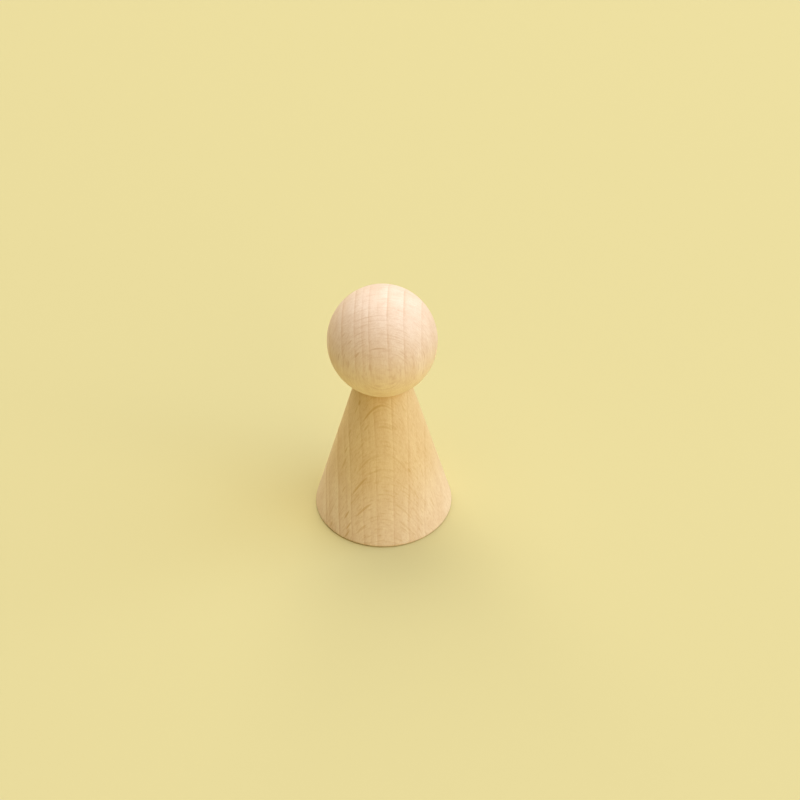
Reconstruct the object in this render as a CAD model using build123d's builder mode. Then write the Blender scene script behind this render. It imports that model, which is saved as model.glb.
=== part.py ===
"""Turned beech game pawn: a slightly tall ball head dowelled and glued onto a cone body.

Millimetres, +Z up. The origin is the centre of the foot, on the table.
Every piece is turned about the Z axis, and the three pieces are glued, so nothing moves.
"""
from build123d import *
import math
import os

# Driving dimensions of the figure
total_height = 50.0
foot_diameter = 27.0        # where the side would meet the table with a sharp edge
head_diameter = 20.0        # the head's width
head_height = 20.7          # the full oval, before the seat is cut off it
neck_diameter = 10.0        # the cone's flat top, and the flat seat under the head
foot_edge_radius = 0.45     # edge rounded over with sandpaper

# Neck joint
dowel_diameter = 5.0
dowel_length = 14.0
dowel_in_body = 8.0         # how far the dowel reaches down into the cone
dowel_chamfer = 0.6
flute_count = 12
flute_depth = 0.2
glue_clearance = 0.05       # radial gap between dowel and bore
glue_pocket = 1.0           # free depth past each end of the dowel
bore_mouth_chamfer = 0.4    # takes the glue that squeezes out

# Places that follow from the dimensions above
foot_radius = foot_diameter / 2
head_radius = head_diameter / 2
neck_radius = neck_diameter / 2
head_centre_height = total_height - head_height / 2
seat_drop = head_height / 2 * math.sqrt(1 - (neck_radius / head_radius)**2)
neck_height = head_centre_height - seat_drop
bore_radius = dowel_diameter / 2 + glue_clearance
dowel_in_head = dowel_length - dowel_in_body


def bore_mouth(piece):
    """The circular edge where a dowel bore opens into the seat plane."""
    rims = piece.edges().filter_by(GeomType.CIRCLE)
    rims = rims.filter_by(lambda rim: abs(rim.center().Z - neck_height) < 1e-6)
    return rims.sort_by(SortBy.RADIUS)[0]


# Cone body: straight side from the foot to the neck, blind bore in its top
with BuildPart() as cone_body:
    with BuildSketch(Plane.XZ):
        with BuildLine():
            Polyline(
                (0, 0),
                (foot_radius, 0),
                (neck_radius, neck_height),
                (0, neck_height),
                close=True,
            )
        make_face()
    revolve(axis=Axis.Z)
    foot_edge = cone_body.edges().filter_by(GeomType.CIRCLE).group_by(Axis.Z)[0]
    fillet(foot_edge, radius=foot_edge_radius)
    with BuildSketch(Plane.XY.offset(neck_height)):
        Circle(bore_radius)
    extrude(amount=-(dowel_in_body + glue_pocket), mode=Mode.SUBTRACT)
    chamfer(bore_mouth(cone_body), length=bore_mouth_chamfer)

# Ball head: half an oval turned about Z, cut flat where it sits on the cone, bored from below
with BuildPart() as ball_head:
    with BuildSketch(Plane.XZ):
        with Locations((0, head_centre_height)):
            Ellipse(head_radius, head_height / 2)
        with Locations((0, neck_height)):
            Rectangle(
                head_diameter,
                head_height,
                align=(Align.MIN, Align.MIN),
                mode=Mode.INTERSECT,
            )
    revolve(axis=Axis.Z)
    with BuildSketch(Plane.XY.offset(neck_height)):
        Circle(bore_radius)
    extrude(amount=dowel_in_head + glue_pocket, mode=Mode.SUBTRACT)
    chamfer(bore_mouth(ball_head), length=bore_mouth_chamfer)

# Neck dowel: rod with chamfered ends and straight flutes that let the glue past
with BuildPart() as neck_dowel:
    with BuildSketch(Plane.XY.offset(neck_height - dowel_in_body)):
        Circle(dowel_diameter / 2)
    extrude(amount=dowel_length)
    chamfer(neck_dowel.edges().filter_by(GeomType.CIRCLE), length=dowel_chamfer)
    with BuildSketch(Plane.XY.offset(neck_height - dowel_in_body)):
        with PolarLocations(dowel_diameter / 2, flute_count):
            Circle(flute_depth)
    extrude(amount=dowel_length, mode=Mode.SUBTRACT)

cone_body.part.label = "cone_body"
ball_head.part.label = "ball_head"
neck_dowel.part.label = "neck_dowel"

os.makedirs("parts", exist_ok=True)
export_step(cone_body.part, "parts/cone_body.step")
export_step(ball_head.part, "parts/ball_head.step")
export_step(neck_dowel.part, "parts/neck_dowel.step")
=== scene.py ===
"""Looks for the turned beech game pawn: lathed head and cone, beech grain, soft studio light.

Lengths in the geometry are metres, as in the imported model. The grain is laid out in
millimetres in the same frame, because both pieces are cut from one stick of wood.
"""
import math

import bpy
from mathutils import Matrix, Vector, noise


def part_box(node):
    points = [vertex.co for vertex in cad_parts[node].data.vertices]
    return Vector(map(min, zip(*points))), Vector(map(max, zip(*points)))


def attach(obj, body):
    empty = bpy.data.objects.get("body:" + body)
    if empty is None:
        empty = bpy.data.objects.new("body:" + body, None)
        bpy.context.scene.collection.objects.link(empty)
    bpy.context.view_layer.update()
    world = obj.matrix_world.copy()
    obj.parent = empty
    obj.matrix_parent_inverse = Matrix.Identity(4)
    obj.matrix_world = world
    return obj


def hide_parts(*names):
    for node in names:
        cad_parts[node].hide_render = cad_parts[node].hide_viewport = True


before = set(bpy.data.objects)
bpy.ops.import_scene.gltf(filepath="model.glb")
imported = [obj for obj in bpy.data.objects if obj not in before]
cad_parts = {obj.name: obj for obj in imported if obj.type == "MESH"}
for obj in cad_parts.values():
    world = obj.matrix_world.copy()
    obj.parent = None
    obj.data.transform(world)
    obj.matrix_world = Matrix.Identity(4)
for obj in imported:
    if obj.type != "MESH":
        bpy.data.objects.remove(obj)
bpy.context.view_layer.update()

MM = 0.001

# Sizes read from the frame
body_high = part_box("cone_body")[1]
head_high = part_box("ball_head")[1]
dowel_low, dowel_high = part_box("neck_dowel")
total_height = head_high.z
head_radius = round(max(head_high.x, head_high.y), 5)
neck_height = body_high.z
foot_radius = max(body_high.x, body_high.y)

# Sizes that the boxes of the frame don't give
head_rise = 10.35 * MM          # half the height of the head's full oval
foot_edge = 0.45 * MM           # edge rounded over with sandpaper
neck_edge = 0.12 * MM           # broken edge at the neck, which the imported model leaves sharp
bore_chamfer = 0.4 * MM
glue_clearance = 0.05 * MM      # radial gap between dowel and bore
glue_pocket = 1.0 * MM          # free depth past each end of the dowel

# Places that follow from these sizes
head_centre = total_height - head_rise
neck_radius = head_radius * math.sqrt(1 - ((head_centre - neck_height) / head_rise) ** 2)
bore_radius = dowel_high.x + glue_clearance
bore_bottom = dowel_low.z - glue_pocket
bore_top = dowel_high.z + glue_pocket

# Hand sanding: the skin dips in by up to three times the depth, and never rises
sanding_depth = 0.008 * MM
wide_swell = 4 * MM
small_swell = 1.5 * MM
small_share = 0.5               # height of the small swells against the wide ones

# Lathe fineness
turn_steps = 288
side_steps = 90
ball_steps = 120
edge_steps = 6
foot_steps = 24
bore_steps = 8
flat_steps = 2
axis_reach = 1e-9               # a point nearer the turning axis than this is on it
sharp_angle = 35                # degrees between faces, above which an edge shades sharp
rim_lift = 0.7                  # degrees above the seat where the ball's small edge starts


# ---------------------------------------------------------------- turned meshes

def arc(centre, across, up, start, end, steps):
    """Points of an oval arc in the (radius, height) plane, angles in degrees from the radius axis."""
    points = []
    for step in range(steps + 1):
        angle = math.radians(start + (end - start) * step / steps)
        points.append((centre[0] + across * math.cos(angle), centre[1] + up * math.sin(angle)))
    return points


def line(start, end, steps):
    """Points of a straight stretch in the (radius, height) plane."""
    points = []
    for step in range(steps + 1):
        share = step / steps
        points.append(tuple(a + (b - a) * share for a, b in zip(start, end)))
    return points


def sanded(point, depth):
    """Moves a point of the skin in by a very small, slowly changing amount, and never out."""
    swell = noise.noise(point / wide_swell) + small_share * noise.noise(point / small_swell)
    radius = math.hypot(point.x, point.y)
    if radius < axis_reach:
        return point
    shift = depth * (swell - (1 + small_share)) / radius
    return Vector((point.x * (1 + shift), point.y * (1 + shift), point.z))


def lathe(name, stretches, charts):
    """A closed turned mesh, with a map for baking.

    The stretches join end to end, from the axis and back to it. Each is (points, depth of
    sanding) and has a chart, which says where it lies on the map, from 0 to 1 both ways:
    ("wall", low, high, first point, last point) is a strip right across the map, and
    ("disc", centre across, centre up, radius on the map, real radius) is a round patch.
    """
    rows = []
    row_chart = []
    row_depth = []
    for (points, depth), chart in zip(stretches, charts):
        first = 1 if rows else 0
        for index in range(first, len(points)):
            rows.append(points[index])
            row_depth.append(depth)
        row_chart.extend([chart] * (len(points) - 1))
    vertices = []
    row_start = []
    for (radius, height), depth in zip(rows, row_depth):
        row_start.append(len(vertices))
        if radius < axis_reach:
            vertices.append((0, 0, height))
            continue
        for turn in range(turn_steps):
            angle = 2 * math.pi * turn / turn_steps
            point = Vector((radius * math.cos(angle), radius * math.sin(angle), height))
            vertices.append(tuple(sanded(point, depth)) if depth else tuple(point))
    faces = []
    places = []
    for row, chart in enumerate(row_chart):
        low, high = rows[row], rows[row + 1]
        for turn in range(turn_steps):
            corners = [(row, turn), (row, turn + 1), (row + 1, turn + 1), (row + 1, turn)]
            if low[0] < axis_reach:
                corners = [(row, turn), (row + 1, turn + 1), (row + 1, turn)]
            elif high[0] < axis_reach:
                corners = [(row, turn), (row, turn + 1), (row + 1, turn)]
            face = []
            for at, step in corners:
                on_axis = rows[at][0] < axis_reach
                face.append(row_start[at] if on_axis else row_start[at] + step % turn_steps)
                places.append(chart_place(chart, rows[at], step))
            faces.append(face)
    mesh = bpy.data.meshes.new(name)
    mesh.from_pydata(vertices, [], faces)
    layer = mesh.uv_layers.new(name="OFBake")
    for loop, place in enumerate(places):
        layer.data[loop].uv = place
    mesh.shade_smooth()
    mesh.set_sharp_from_angle(angle=math.radians(sharp_angle))
    mesh.validate()
    piece = bpy.data.objects.new(name, mesh)
    bpy.context.scene.collection.objects.link(piece)
    return piece


def chart_place(chart, point, step):
    """Where a corner lies on the bake map."""
    if chart[0] == "disc":
        centre_across, centre_up, map_radius, real_radius = chart[1:]
        angle = 2 * math.pi * step / turn_steps
        reach = map_radius * point[0] / real_radius
        return (centre_across + reach * math.cos(angle), centre_up + reach * math.sin(angle))
    low, high, first, last = chart[1:]
    share = math.dist(first, point) / math.dist(first, last)
    return (step / turn_steps, low + (high - low) * share)


def make_cone():
    """The cone body: flat foot, rounded foot edge, straight side, flat top with its dowel bore."""
    edge_centre = (foot_radius - foot_edge, foot_edge)
    across = neck_radius - neck_edge - edge_centre[0]
    up = neck_height - neck_edge - edge_centre[1]
    reach = math.hypot(across, up)
    tilt = math.degrees(math.atan2(up, across) - math.acos((foot_edge - neck_edge) / reach))
    foot_arc = arc(edge_centre, foot_edge, foot_edge, -90, tilt, edge_steps)
    top_centre = (neck_radius - neck_edge, neck_height - neck_edge)
    neck_arc = arc(top_centre, neck_edge, neck_edge, tilt, 90, edge_steps)
    mouth = (bore_radius + bore_chamfer, neck_height)
    bore_start = (bore_radius, neck_height - bore_chamfer)
    bore_end = (bore_radius, bore_bottom)
    stretches = [
        (line((0, 0), foot_arc[0], foot_steps), 0),
        (foot_arc, 0),
        (line(foot_arc[-1], neck_arc[0], side_steps), sanding_depth),
        (neck_arc, 0),
        (line(neck_arc[-1], mouth, flat_steps), 0),
        (line(mouth, bore_start, flat_steps), 0),
        (line(bore_start, bore_end, bore_steps), 0),
        (line(bore_end, (0, bore_bottom), flat_steps), 0),
    ]
    charts = [
        ("disc", 0.17, 0.83, 0.155, foot_radius),
        ("wall", 0.002, 0.02, foot_arc[0], foot_arc[-1]),
        ("wall", 0.02, 0.60, foot_arc[-1], neck_arc[0]),
        ("wall", 0.60, 0.61, neck_arc[0], neck_arc[-1]),
        ("disc", 0.45, 0.83, 0.11, neck_radius),
        ("disc", 0.70, 0.88, 0.09, mouth[0]),
        ("wall", 0.615, 0.655, bore_start, bore_end),
        ("disc", 0.90, 0.88, 0.08, bore_radius),
    ]
    return lathe("turned_cone", stretches, charts)


def make_head():
    """The ball head: full ball cut by its flat seat, with its dowel bore."""
    seat_angle = math.degrees(math.asin((neck_height - head_centre) / head_rise))
    ball = arc((0, head_centre), head_radius, head_rise, 90, seat_angle + rim_lift, ball_steps)
    rim = ball[-1]
    seat_edge = (neck_radius - neck_edge, neck_height)
    mouth = (bore_radius + bore_chamfer, neck_height)
    bore_start = (bore_radius, neck_height + bore_chamfer)
    bore_end = (bore_radius, bore_top)
    stretches = [
        ([(0, ball[0][1])] + ball[1:], sanding_depth),
        (line(rim, seat_edge, flat_steps), 0),
        (line(seat_edge, mouth, flat_steps), 0),
        (line(mouth, bore_start, flat_steps), 0),
        (line(bore_start, bore_end, bore_steps), 0),
        (line(bore_end, (0, bore_top), flat_steps), 0),
    ]
    charts = [
        ("wall", 0.002, 0.66, ball[0], ball[-1]),
        ("wall", 0.66, 0.67, rim, seat_edge),
        ("disc", 0.15, 0.85, 0.13, neck_radius),
        ("disc", 0.42, 0.87, 0.10, mouth[0]),
        ("wall", 0.68, 0.72, bore_start, bore_end),
        ("disc", 0.65, 0.87, 0.09, bore_radius),
    ]
    piece = lathe("turned_head", stretches, charts)
    piece.data.flip_normals()
    return piece


# ---------------------------------------------------------------- beech

# Growth rings: nearly upright planes, almost square to x. For each, where its dark edge
# crosses the stick, in mm, and how strongly it shows on the cone and on the head
ring_lean = (1.0, -0.035, 0.030)
growth_rings = [
    (-13.6, 0.5, 0.5),
    (-10.9, 1.2, 0.5),
    (-10.2, 0.7, 0.3),
    (-8.1, 1.4, 0.7),
    (-6.6, 0.5, 0.2),
    (-5.55, 0.9, 0.9),
    (-3.25, 0.6, 0.9),
    (-1.85, 0.3, 0.6),
    (-0.6, 0.65, 0.8),
    (0.95, 0.2, 0.2),
    (2.65, 0.8, 1.0),
    (5.45, 0.7, 0.85),
    (6.95, 0.3, 0.1),
    (8.45, 0.5, 0.6),
    (11.5, 0.1, 0.3),
    (14.0, 0.3, 0.3),
]
ring_edge = (-0.10, 0.08)       # mm over which a ring's dark line begins
dark_fade = 0.24                # mm over which the dark line dies away
pale_fade = 0.7                 # mm over which the pale wood before it builds up
pale_share = 0.45               # strength of the pale wood against the dark line
head_ring_fade = (37.5, 43.5)   # mm up, between which the rings of the ball gain strength
faded_ring = 0.3                # strength of those rings below it

# Sizes of the grain's features along x, y and z, in mm
patch_size = (5.0, 5.0, 5.0)    # where the rings show more and less
cloud_size = (2.4, 2.4, 9.0)
medium_ray_size = (3.0, 0.15, 1.6)
fine_ray_size = (1.0, 0.12, 0.7)
fibre_size = (0.20, 0.20, 2.6)
pore_size = (0.09, 0.09, 0.7)
wander_reach = (0.9, 0.5, 0.0)
wander_scale = 0.07             # swings for each mm

# Where each noise starts to show and where it shows fully
patch_range = (0.35, 0.65)
patch_strength = (0.55, 1.15)   # rings are weakened and strengthened between these
cloud_range = (0.3, 0.7)
medium_ray_range = (0.50, 0.74)
fine_ray_range = (0.50, 0.72)
pore_range = (0.56, 0.72)

# How far each feature takes the wood from pale to deep; the neck entry is painted shade in the crease
# where the ball meets the cone, not a feature of the wood
base_tone = 0.30
cloud_depth = 0.4
fibre_depth = 0.9
pore_depth = 0.16
# Painted shade at the neck joint, in the crease where the ball sits on the cone
neck_painted_shade_depth = 0.45
neck_painted_shade_reach = (0.2, 1.3)         # mm from the neck joint over which the painted shade fades
medium_ray_depth = 0.58
fine_ray_depth = 0.30
ray_cover = 0.48                # share of ray colour where a ray is deepest
ray_rim = (0.55, 1.05)          # shares of a broad ray's size between which it fades out

# How much darker the deep wood is than the pale wood round it, in red, green and blue
deepening = (0.81, 0.70, 0.60)

# Gloss and relief of the sanded skin
skin_roughness = 0.52
fibre_roughness = 0.12
ray_roughness = -0.08
fibre_relief = 0.5
pore_relief = -0.6
ray_relief = -0.25
relief_strength = 0.35
relief_depth = 0.02 * MM
specular_level = 0.35
wood_ior = 1.45

# Broad rays that show as dark strokes: centre, half length along each axis, in mm, and depth
broad_rays = [
    # on the cone, from the neck down
    ((-4.3, -3.8, 28.3), (0.4, 0.28, 0.9), 1.4),
    ((-4.9, -3.75, 26.3), (0.6, 0.13, 1.3), 0.9),
    ((-1.0, -5.45, 26.4), (3.8, 0.12, 3.7), 1.3),
    ((0.4, -6.6, 24.1), (1.7, 0.10, 1.4), 0.8),
    ((-3.0, -6.1, 24.2), (0.7, 0.12, 1.6), 0.8),
    ((-6.1, -3.9, 22.8), (0.5, 0.12, 1.2), 0.4),
    ((0.4, -7.4, 21.8), (1.5, 0.09, 1.1), 0.4),
    ((-6.1, -4.4, 21.3), (0.6, 0.13, 1.3), 1.1),
    ((-3.9, -6.8, 20.2), (0.8, 0.11, 1.4), 0.7),
    ((-7.0, -5.1, 17.8), (0.5, 0.13, 1.6), 1.3),
    ((8.0, -3.8, 16.5), (0.5, 0.13, 1.5), 0.7),
    ((-0.4, -8.1, 15.8), (6.3, 0.12, 4.0), 0.85),
    ((0.4, -9.0, 16.1), (1.9, 0.09, 1.3), 0.35),
    ((4.9, -7.9, 15.0), (0.4, 0.16, 0.8), 1.2),
    ((-7.4, -5.8, 14.8), (0.8, 0.16, 2.6), 0.9),
    ((-4.4, -9.05, 12.0), (2.4, 0.11, 3.8), 1.3),
    ((5.3, -8.9, 11.0), (2.4, 0.10, 3.8), 0.45),
    ((-7.5, -7.7, 9.9), (0.7, 0.11, 1.4), 0.9),
    ((-5.2, -9.55, 9.3), (1.6, 0.10, 2.4), 0.6),
    ((-3.7, -10.75, 7.5), (2.7, 0.11, 2.8), 1.1),
    ((3.7, -10.75, 7.2), (2.9, 0.10, 2.9), 0.65),
    ((9.4, -7.2, 6.0), (0.8, 0.12, 2.0), 0.8),
    ((-6.9, -9.8, 5.2), (0.9, 0.13, 1.7), 1.3),
    ((6.4, -10.0, 5.3), (1.6, 0.10, 2.6), 0.45),
    ((-9.9, -7.3, 4.0), (1.3, 0.13, 3.0), 0.8),
    ((4.0, -11.6, 4.0), (2.1, 0.10, 2.3), 0.65),
    ((-4.2, -11.8, 3.4), (1.6, 0.11, 2.5), 0.85),
    ((-6.6, -10.7, 3.2), (0.9, 0.11, 1.6), 1.2),
    ((-10.0, -8.4, 1.4), (0.5, 0.24, 0.9), 1.0),
    ((-6.9, -11.1, 1.2), (0.9, 0.13, 1.5), 1.3),
    # on the head, from the top down
    ((-0.2, -3.2, 47.9), (5.6, 0.13, 2.0), 1.0),
    ((-1.0, -4.7, 47.6), (5.0, 0.12, 1.8), 1.0),
    ((-3.4, -5.8, 47.1), (1.7, 0.11, 1.3), 0.75),
    ((2.6, -6.5, 46.8), (1.8, 0.10, 1.1), 0.35),
    ((-3.8, -6.6, 46.2), (1.6, 0.11, 1.2), 0.85),
    ((-6.7, -5.3, 44.9), (0.5, 0.13, 0.9), 0.9),
    ((-5.5, -6.8, 44.5), (0.8, 0.12, 0.7), 1.0),
    ((-0.4, -8.7, 44.0), (2.1, 0.12, 1.1), 1.3),
    ((-4.3, -8.4, 43.1), (0.7, 0.12, 1.2), 1.1),
    ((3.6, -8.5, 43.5), (0.8, 0.11, 0.9), 0.7),
    ((-6.6, -7.2, 41.6), (0.3, 0.14, 1.0), 0.8),
    ((-8.5, -4.8, 41.4), (0.5, 0.13, 0.9), 0.8),
    ((-2.1, -9.6, 41.2), (0.2, 0.30, 1.0), 0.9),
    ((-7.6, -6.3, 40.9), (0.4, 0.14, 1.1), 1.2),
    ((-5.9, -8.0, 40.6), (0.3, 0.16, 1.2), 0.8),
    ((5.7, -8.2, 40.6), (0.3, 0.14, 1.2), 0.6),
    ((6.5, -7.6, 39.7), (0.3, 0.14, 1.0), 0.6),
    ((7.4, -6.4, 41.3), (0.4, 0.13, 1.4), 0.9),
    ((0.2, -9.3, 36.4), (3.4, 0.10, 1.0), 0.4),
]


class Sheet:
    """One material's node tree, written as expressions: inputs are sockets or plain numbers."""

    def __init__(self, name):
        self.material = bpy.data.materials.new(name)
        self.material.use_nodes = True
        self.tree = self.material.node_tree
        self.tree.nodes.clear()

    def node(self, kind, **inputs):
        """A new node, with its inputs named with _ for spaces."""
        made = self.tree.nodes.new(kind)
        for key, value in inputs.items():
            self.join(value, made.inputs[key.replace("_", " ")])
        return made

    def join(self, value, socket):
        """Links a socket, or sets a plain value."""
        if isinstance(value, bpy.types.NodeSocket):
            self.tree.links.new(value, socket)
        else:
            socket.default_value = value

    def calc(self, operation, *values):
        """One Math node."""
        made = self.tree.nodes.new("ShaderNodeMath")
        made.operation = operation
        for value, socket in zip(values, made.inputs):
            self.join(value, socket)
        return made.outputs["Value"]

    def vector(self, operation, *values, out="Vector"):
        """One Vector Math node."""
        made = self.tree.nodes.new("ShaderNodeVectorMath")
        made.operation = operation
        for value, socket in zip(values, made.inputs):
            self.join(value, socket)
        return made.outputs[out]

    def ramp(self, value, low, high, start=0.0, end=1.0, smooth=True):
        """value mapped from low..high to start..end, held at both ends."""
        made = self.tree.nodes.new("ShaderNodeMapRange")
        made.interpolation_type = "SMOOTHSTEP" if smooth else "LINEAR"
        for socket, number in zip(made.inputs, (value, low, high, start, end)):
            self.join(number, socket)
        return made.outputs["Result"]

    def mix(self, share, first, second):
        """Two colours blended by a share."""
        made = self.tree.nodes.new("ShaderNodeMix")
        made.data_type = "RGBA"
        factor, first_colour, second_colour = (made.inputs[place] for place in (0, 6, 7))
        self.join(share, factor)
        self.join(first, first_colour)
        self.join(second, second_colour)
        return made.outputs[2]


def streaks(sheet, place, stretch, seed, detail=2.0):
    """Noise drawn out by the given lengths, from about 0.25 to 0.75."""
    spread = sheet.vector("MULTIPLY", place, tuple(1 / size for size in stretch))
    moved = sheet.vector("ADD", spread, (seed, 0.37 * seed, 0.71 * seed))
    made = sheet.node("ShaderNodeTexNoise", Vector=moved, Scale=1.0, Detail=detail, Roughness=0.55)
    return made.outputs["Fac"]


def wood_place(sheet):
    """The place in the stick in mm, first as it is and then bent a little, as real grain wanders."""
    place = sheet.tree.nodes.new("ShaderNodeTexCoord").outputs["Object"]
    in_mm = sheet.vector("MULTIPLY", place, (1 / MM, 1 / MM, 1 / MM))
    wander = sheet.node(
        "ShaderNodeTexNoise", Vector=in_mm, Scale=wander_scale, Detail=1.0, Roughness=0.5
    )
    centred = sheet.vector("SUBTRACT", wander.outputs["Color"], (0.5, 0.5, 0.5))
    small = sheet.vector("MULTIPLY", centred, wander_reach)
    return in_mm, sheet.vector("ADD", in_mm, small)


def ring_shade(sheet, place, on_head):
    """Growth rings: negative in the thin dark line at each edge, positive in the pale wood before it."""
    across = sheet.vector("DOT_PRODUCT", place, ring_lean, out="Value")
    total = 0.0
    for edge, cone_strength, head_strength in growth_rings:
        strength = head_strength if on_head else cone_strength
        past = sheet.calc("SUBTRACT", across, edge)
        after = sheet.ramp(past, *ring_edge)
        before = sheet.calc("SUBTRACT", 1.0, after)
        beyond = sheet.calc("MAXIMUM", past, 0.0)
        short = sheet.calc("MINIMUM", past, 0.0)
        fall = sheet.calc("EXPONENT", sheet.calc("MULTIPLY", beyond, -1 / dark_fade))
        rise = sheet.calc("EXPONENT", sheet.calc("MULTIPLY", short, 1 / pale_fade))
        dark = sheet.calc("MULTIPLY", after, fall)
        pale = sheet.calc("MULTIPLY", sheet.calc("MULTIPLY", before, rise), pale_share)
        shade = sheet.calc("SUBTRACT", pale, dark)
        total = sheet.calc("MULTIPLY_ADD", shade, strength, total)
    return total


def broad_ray_shade(sheet, place):
    """The broad rays, each a thin lens of darker wood."""
    deepest = 0.0
    for centre, half, depth in broad_rays:
        scale = tuple(1 / size for size in half)
        offset = tuple(-at * by for at, by in zip(centre, scale))
        inside = sheet.vector("MULTIPLY_ADD", place, scale, offset)
        away = sheet.vector("LENGTH", inside, out="Value")
        lens = sheet.calc("MULTIPLY", sheet.ramp(away, *ray_rim, 1.0, 0.0), depth)
        deepest = sheet.calc("MAXIMUM", lens, deepest)
    return deepest


def all_ray_shade(sheet, straight, place, with_broad_rays):
    """Fine and medium rays scattered at random, and the broad ones where they were placed."""
    medium_noise = streaks(sheet, place, medium_ray_size, seed=3.1, detail=1.0)
    medium = sheet.ramp(medium_noise, *medium_ray_range)
    fine_noise = streaks(sheet, place, fine_ray_size, seed=11.7, detail=1.0)
    fine = sheet.ramp(fine_noise, *fine_ray_range)
    scattered = sheet.calc("MULTIPLY", medium, medium_ray_depth)
    rays = sheet.calc("MULTIPLY_ADD", fine, fine_ray_depth, scattered)
    if with_broad_rays:
        rays = sheet.calc("MAXIMUM", rays, broad_ray_shade(sheet, straight))
    return rays


def beech(name, lower, upper, turn, ray_colour, ring_contrast, on_head=False, with_broad_rays=True):
    """Bare, finely sanded steamed beech, whose pale wood goes from one tint to another up the stick; on
    the cone and the head this change of tint is painted light and shade.
    """
    sheet = Sheet(name)
    straight, place = wood_place(sheet)
    height = sheet.node("ShaderNodeSeparateXYZ", Vector=straight).outputs["Z"]
    patch_noise = streaks(sheet, place, patch_size, seed=2.3, detail=1.0)
    patches = sheet.ramp(patch_noise, *patch_range, *patch_strength)
    rings = sheet.calc("MULTIPLY", ring_shade(sheet, place, on_head), patches)
    if on_head:
        rings = sheet.calc("MULTIPLY", rings, sheet.ramp(height, *head_ring_fade, faded_ring, 1.0))
    rays = all_ray_shade(sheet, straight, place, with_broad_rays)
    fibre = streaks(sheet, place, fibre_size, seed=5.3)
    pores = sheet.ramp(streaks(sheet, place, pore_size, seed=9.1, detail=1.0), *pore_range)
    cloud_noise = streaks(sheet, place, cloud_size, seed=1.9, detail=3.0)
    cloud = sheet.ramp(cloud_noise, *cloud_range, smooth=False)

    # Tone: 0 is the pale wood and 1 the deep wood
    tone = sheet.calc("MULTIPLY_ADD", cloud, cloud_depth, base_tone)
    tone = sheet.calc("MULTIPLY_ADD", rings, -ring_contrast, tone)
    tone = sheet.calc("MULTIPLY_ADD", sheet.calc("SUBTRACT", fibre, 0.5), fibre_depth, tone)
    tone = sheet.calc("MULTIPLY_ADD", pores, pore_depth, tone)
    # Painted shade: the wood on both pieces is darkened near the neck joint, in the crease under the
    # ball
    from_neck = sheet.calc("ABSOLUTE", sheet.calc("SUBTRACT", height, neck_height / MM))
    painted_neck_shade = sheet.ramp(from_neck, *neck_painted_shade_reach, 1.0, 0.0)
    tone = sheet.calc("MULTIPLY_ADD", painted_neck_shade, neck_painted_shade_depth, tone)
    tone.node.use_clamp = True
    # Painted light and shade: the pale wood's tint changes with height from lower to upper
    pale = sheet.mix(sheet.ramp(height, *turn), lower, upper)
    deep = sheet.vector("MULTIPLY", pale, deepening)
    wood = sheet.mix(tone, pale, deep)
    ray_share = sheet.calc("MULTIPLY", rays, ray_cover)
    ray_share.node.use_clamp = True
    colour = sheet.mix(ray_share, wood, ray_colour)

    rough = sheet.calc("MULTIPLY_ADD", fibre, fibre_roughness, skin_roughness)
    rough = sheet.calc("MULTIPLY_ADD", rays, ray_roughness, rough)
    relief = sheet.calc("MULTIPLY", fibre, fibre_relief)
    relief = sheet.calc("MULTIPLY_ADD", pores, pore_relief, relief)
    relief = sheet.calc("MULTIPLY_ADD", rays, ray_relief, relief)
    bump = sheet.node(
        "ShaderNodeBump", Height=relief, Strength=relief_strength, Distance=relief_depth
    )
    skin = sheet.node(
        "ShaderNodeBsdfPrincipled",
        Base_Color=colour,
        Roughness=rough,
        Normal=bump.outputs["Normal"],
        IOR=wood_ior,
        Specular_IOR_Level=specular_level,
    )
    sheet.node("ShaderNodeOutputMaterial", Surface=skin.outputs["BSDF"])
    return sheet.material


# ---------------------------------------------------------------- the object

cone = make_cone()
head = make_head()
golden = beech(
    "cone_beech",
    # lower and upper: the cone is painted darker and yellower up its side, painted shade where the ball
    # hides the overhead light
    lower=(0.935, 0.755, 0.56, 1),
    upper=(0.885, 0.68, 0.40, 1),
    turn=(2.0, 18.0),
    ray_colour=(0.61, 0.36, 0.12, 1),
    ring_contrast=0.62,
)
rosy = beech(
    "head_beech",
    lower=(0.99, 0.825, 0.58, 1),
    # lower and upper: the ball is painted brighter and yellower low down and pinker on top, painted
    # bounce light from the yellow floor and painted white light from above
    upper=(0.92, 0.745, 0.625, 1),
    turn=(34.0, 44.0),
    ray_colour=(0.62, 0.37, 0.21, 1),
    ring_contrast=0.62,
    on_head=True,
)
plain = beech(
    "dowel_beech",
    lower=(0.86, 0.68, 0.46, 1),
    upper=(0.86, 0.68, 0.46, 1),
    turn=(22.0, 37.0),
    ray_colour=(0.54, 0.34, 0.13, 1),
    ring_contrast=0.40,
    with_broad_rays=False,
)
for piece, node, wood in ((cone, "cone_body", golden), (head, "ball_head", rosy)):
    piece.data.materials.append(wood)
    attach(piece, "root")
    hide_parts(node)

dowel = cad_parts["neck_dowel"]
dowel.data.materials.clear()
dowel.data.materials.append(plain)


# ---------------------------------------------------------------- stage, light and camera

floor_reach = 200 * total_height    # far enough that its edge is a horizon in low views
floor_colour = (0.635, 0.55, 0.27, 1)
floor_roughness = 0.9
floor_specular = 0.1

world_colour = (1.0, 0.84, 0.45, 1)
world_strength = 0.29

# Soft lights: azimuth and elevation in degrees, side in metres, power in watts, colour.
# Azimuth 0 is the camera's side and 90 is the right of what it sees
light_distance = 3.0
studio_lights = {
    "overhead": (0, 90, 3.5, 54.0, (0.80, 0.88, 1.0)),
    "right": (90, 38, 2.75, 56.0, (0.54, 0.70, 1.0)),
    "front": (45, 22, 2.75, 34.5, (1.0, 0.85, 0.48)),
    "back": (190, 50, 3.0, 63.0, (1.0, 0.96, 0.86)),
}

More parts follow.
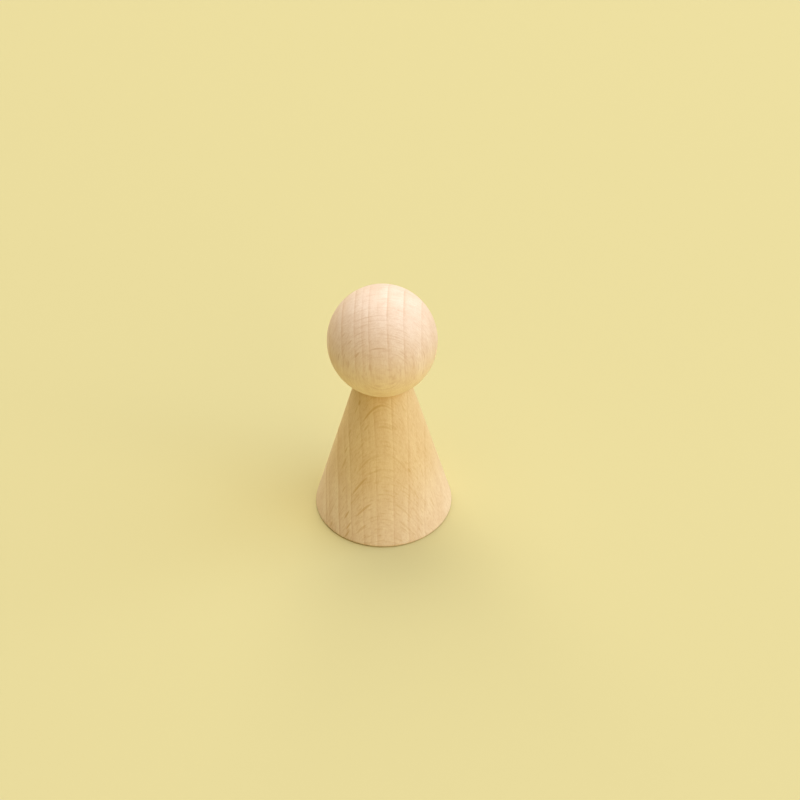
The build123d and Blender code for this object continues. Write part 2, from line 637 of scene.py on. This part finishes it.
camera_lens = 64.7              # mm, on a sensor 36 mm wide
sensor_width = 36.0
nearest_seen = 0.01             # metres
camera_rise = 40.3              # degrees above level
camera_distance = 268.0 * MM
camera_aim = Vector((3.19, 0, 25.6)) * MM


def make_floor():
    """A plain pale floor."""
    reach = floor_reach
    mesh = bpy.data.meshes.new("floor")
    corners = [(-reach, -reach, 0), (reach, -reach, 0), (reach, reach, 0), (-reach, reach, 0)]
    mesh.from_pydata(corners, [], [(0, 1, 2, 3)])
    floor = bpy.data.objects.new("floor", mesh)
    bpy.context.scene.collection.objects.link(floor)
    material = bpy.data.materials.new("floor")
    material.use_nodes = True
    skin = material.node_tree.nodes["Principled BSDF"]
    skin.inputs["Base Color"].default_value = floor_colour
    skin.inputs["Roughness"].default_value = floor_roughness
    skin.inputs["Specular IOR Level"].default_value = floor_specular
    mesh.materials.append(material)


def make_light(name, azimuth, elevation, size, power, colour):
    """A square soft light aimed at the figure's middle."""
    data = bpy.data.lights.new(name, "AREA")
    data.size = size
    data.energy = power
    data.color = colour
    light = bpy.data.objects.new(name, data)
    turn, rise = math.radians(azimuth), math.radians(elevation)
    away = Vector((
        math.sin(turn) * math.cos(rise),
        -math.cos(turn) * math.cos(rise),
        math.sin(rise),
    ))
    light.location = Vector((0, 0, total_height / 2)) + away * light_distance
    light.rotation_mode = "QUATERNION"
    light.rotation_quaternion = away.to_track_quat("Z", "Y")
    bpy.context.scene.collection.objects.link(light)


def make_world():
    """Even light from all round."""
    world = bpy.data.worlds.new("studio")
    bpy.context.scene.world = world
    world.use_nodes = True
    back = world.node_tree.nodes["Background"]
    back.inputs["Color"].default_value = world_colour
    back.inputs["Strength"].default_value = world_strength


def make_camera():
    """Looks down on the figure from the front, with the figure a little left of the middle."""
    data = bpy.data.cameras.new("camera")
    data.lens = camera_lens
    data.sensor_width = sensor_width
    data.clip_start = nearest_seen
    camera = bpy.data.objects.new("camera", data)
    rise = math.radians(camera_rise)
    back = Vector((0, -math.cos(rise), math.sin(rise)))
    camera.location = camera_aim + back * camera_distance
    camera.rotation_mode = "QUATERNION"
    camera.rotation_quaternion = back.to_track_quat("Z", "Y")
    bpy.context.scene.collection.objects.link(camera)
    bpy.context.scene.camera = camera


make_floor()
make_world()
for name, light in studio_lights.items():
    make_light(name, *light)
make_camera()
bpy.context.scene.view_settings.view_transform = "Standard"
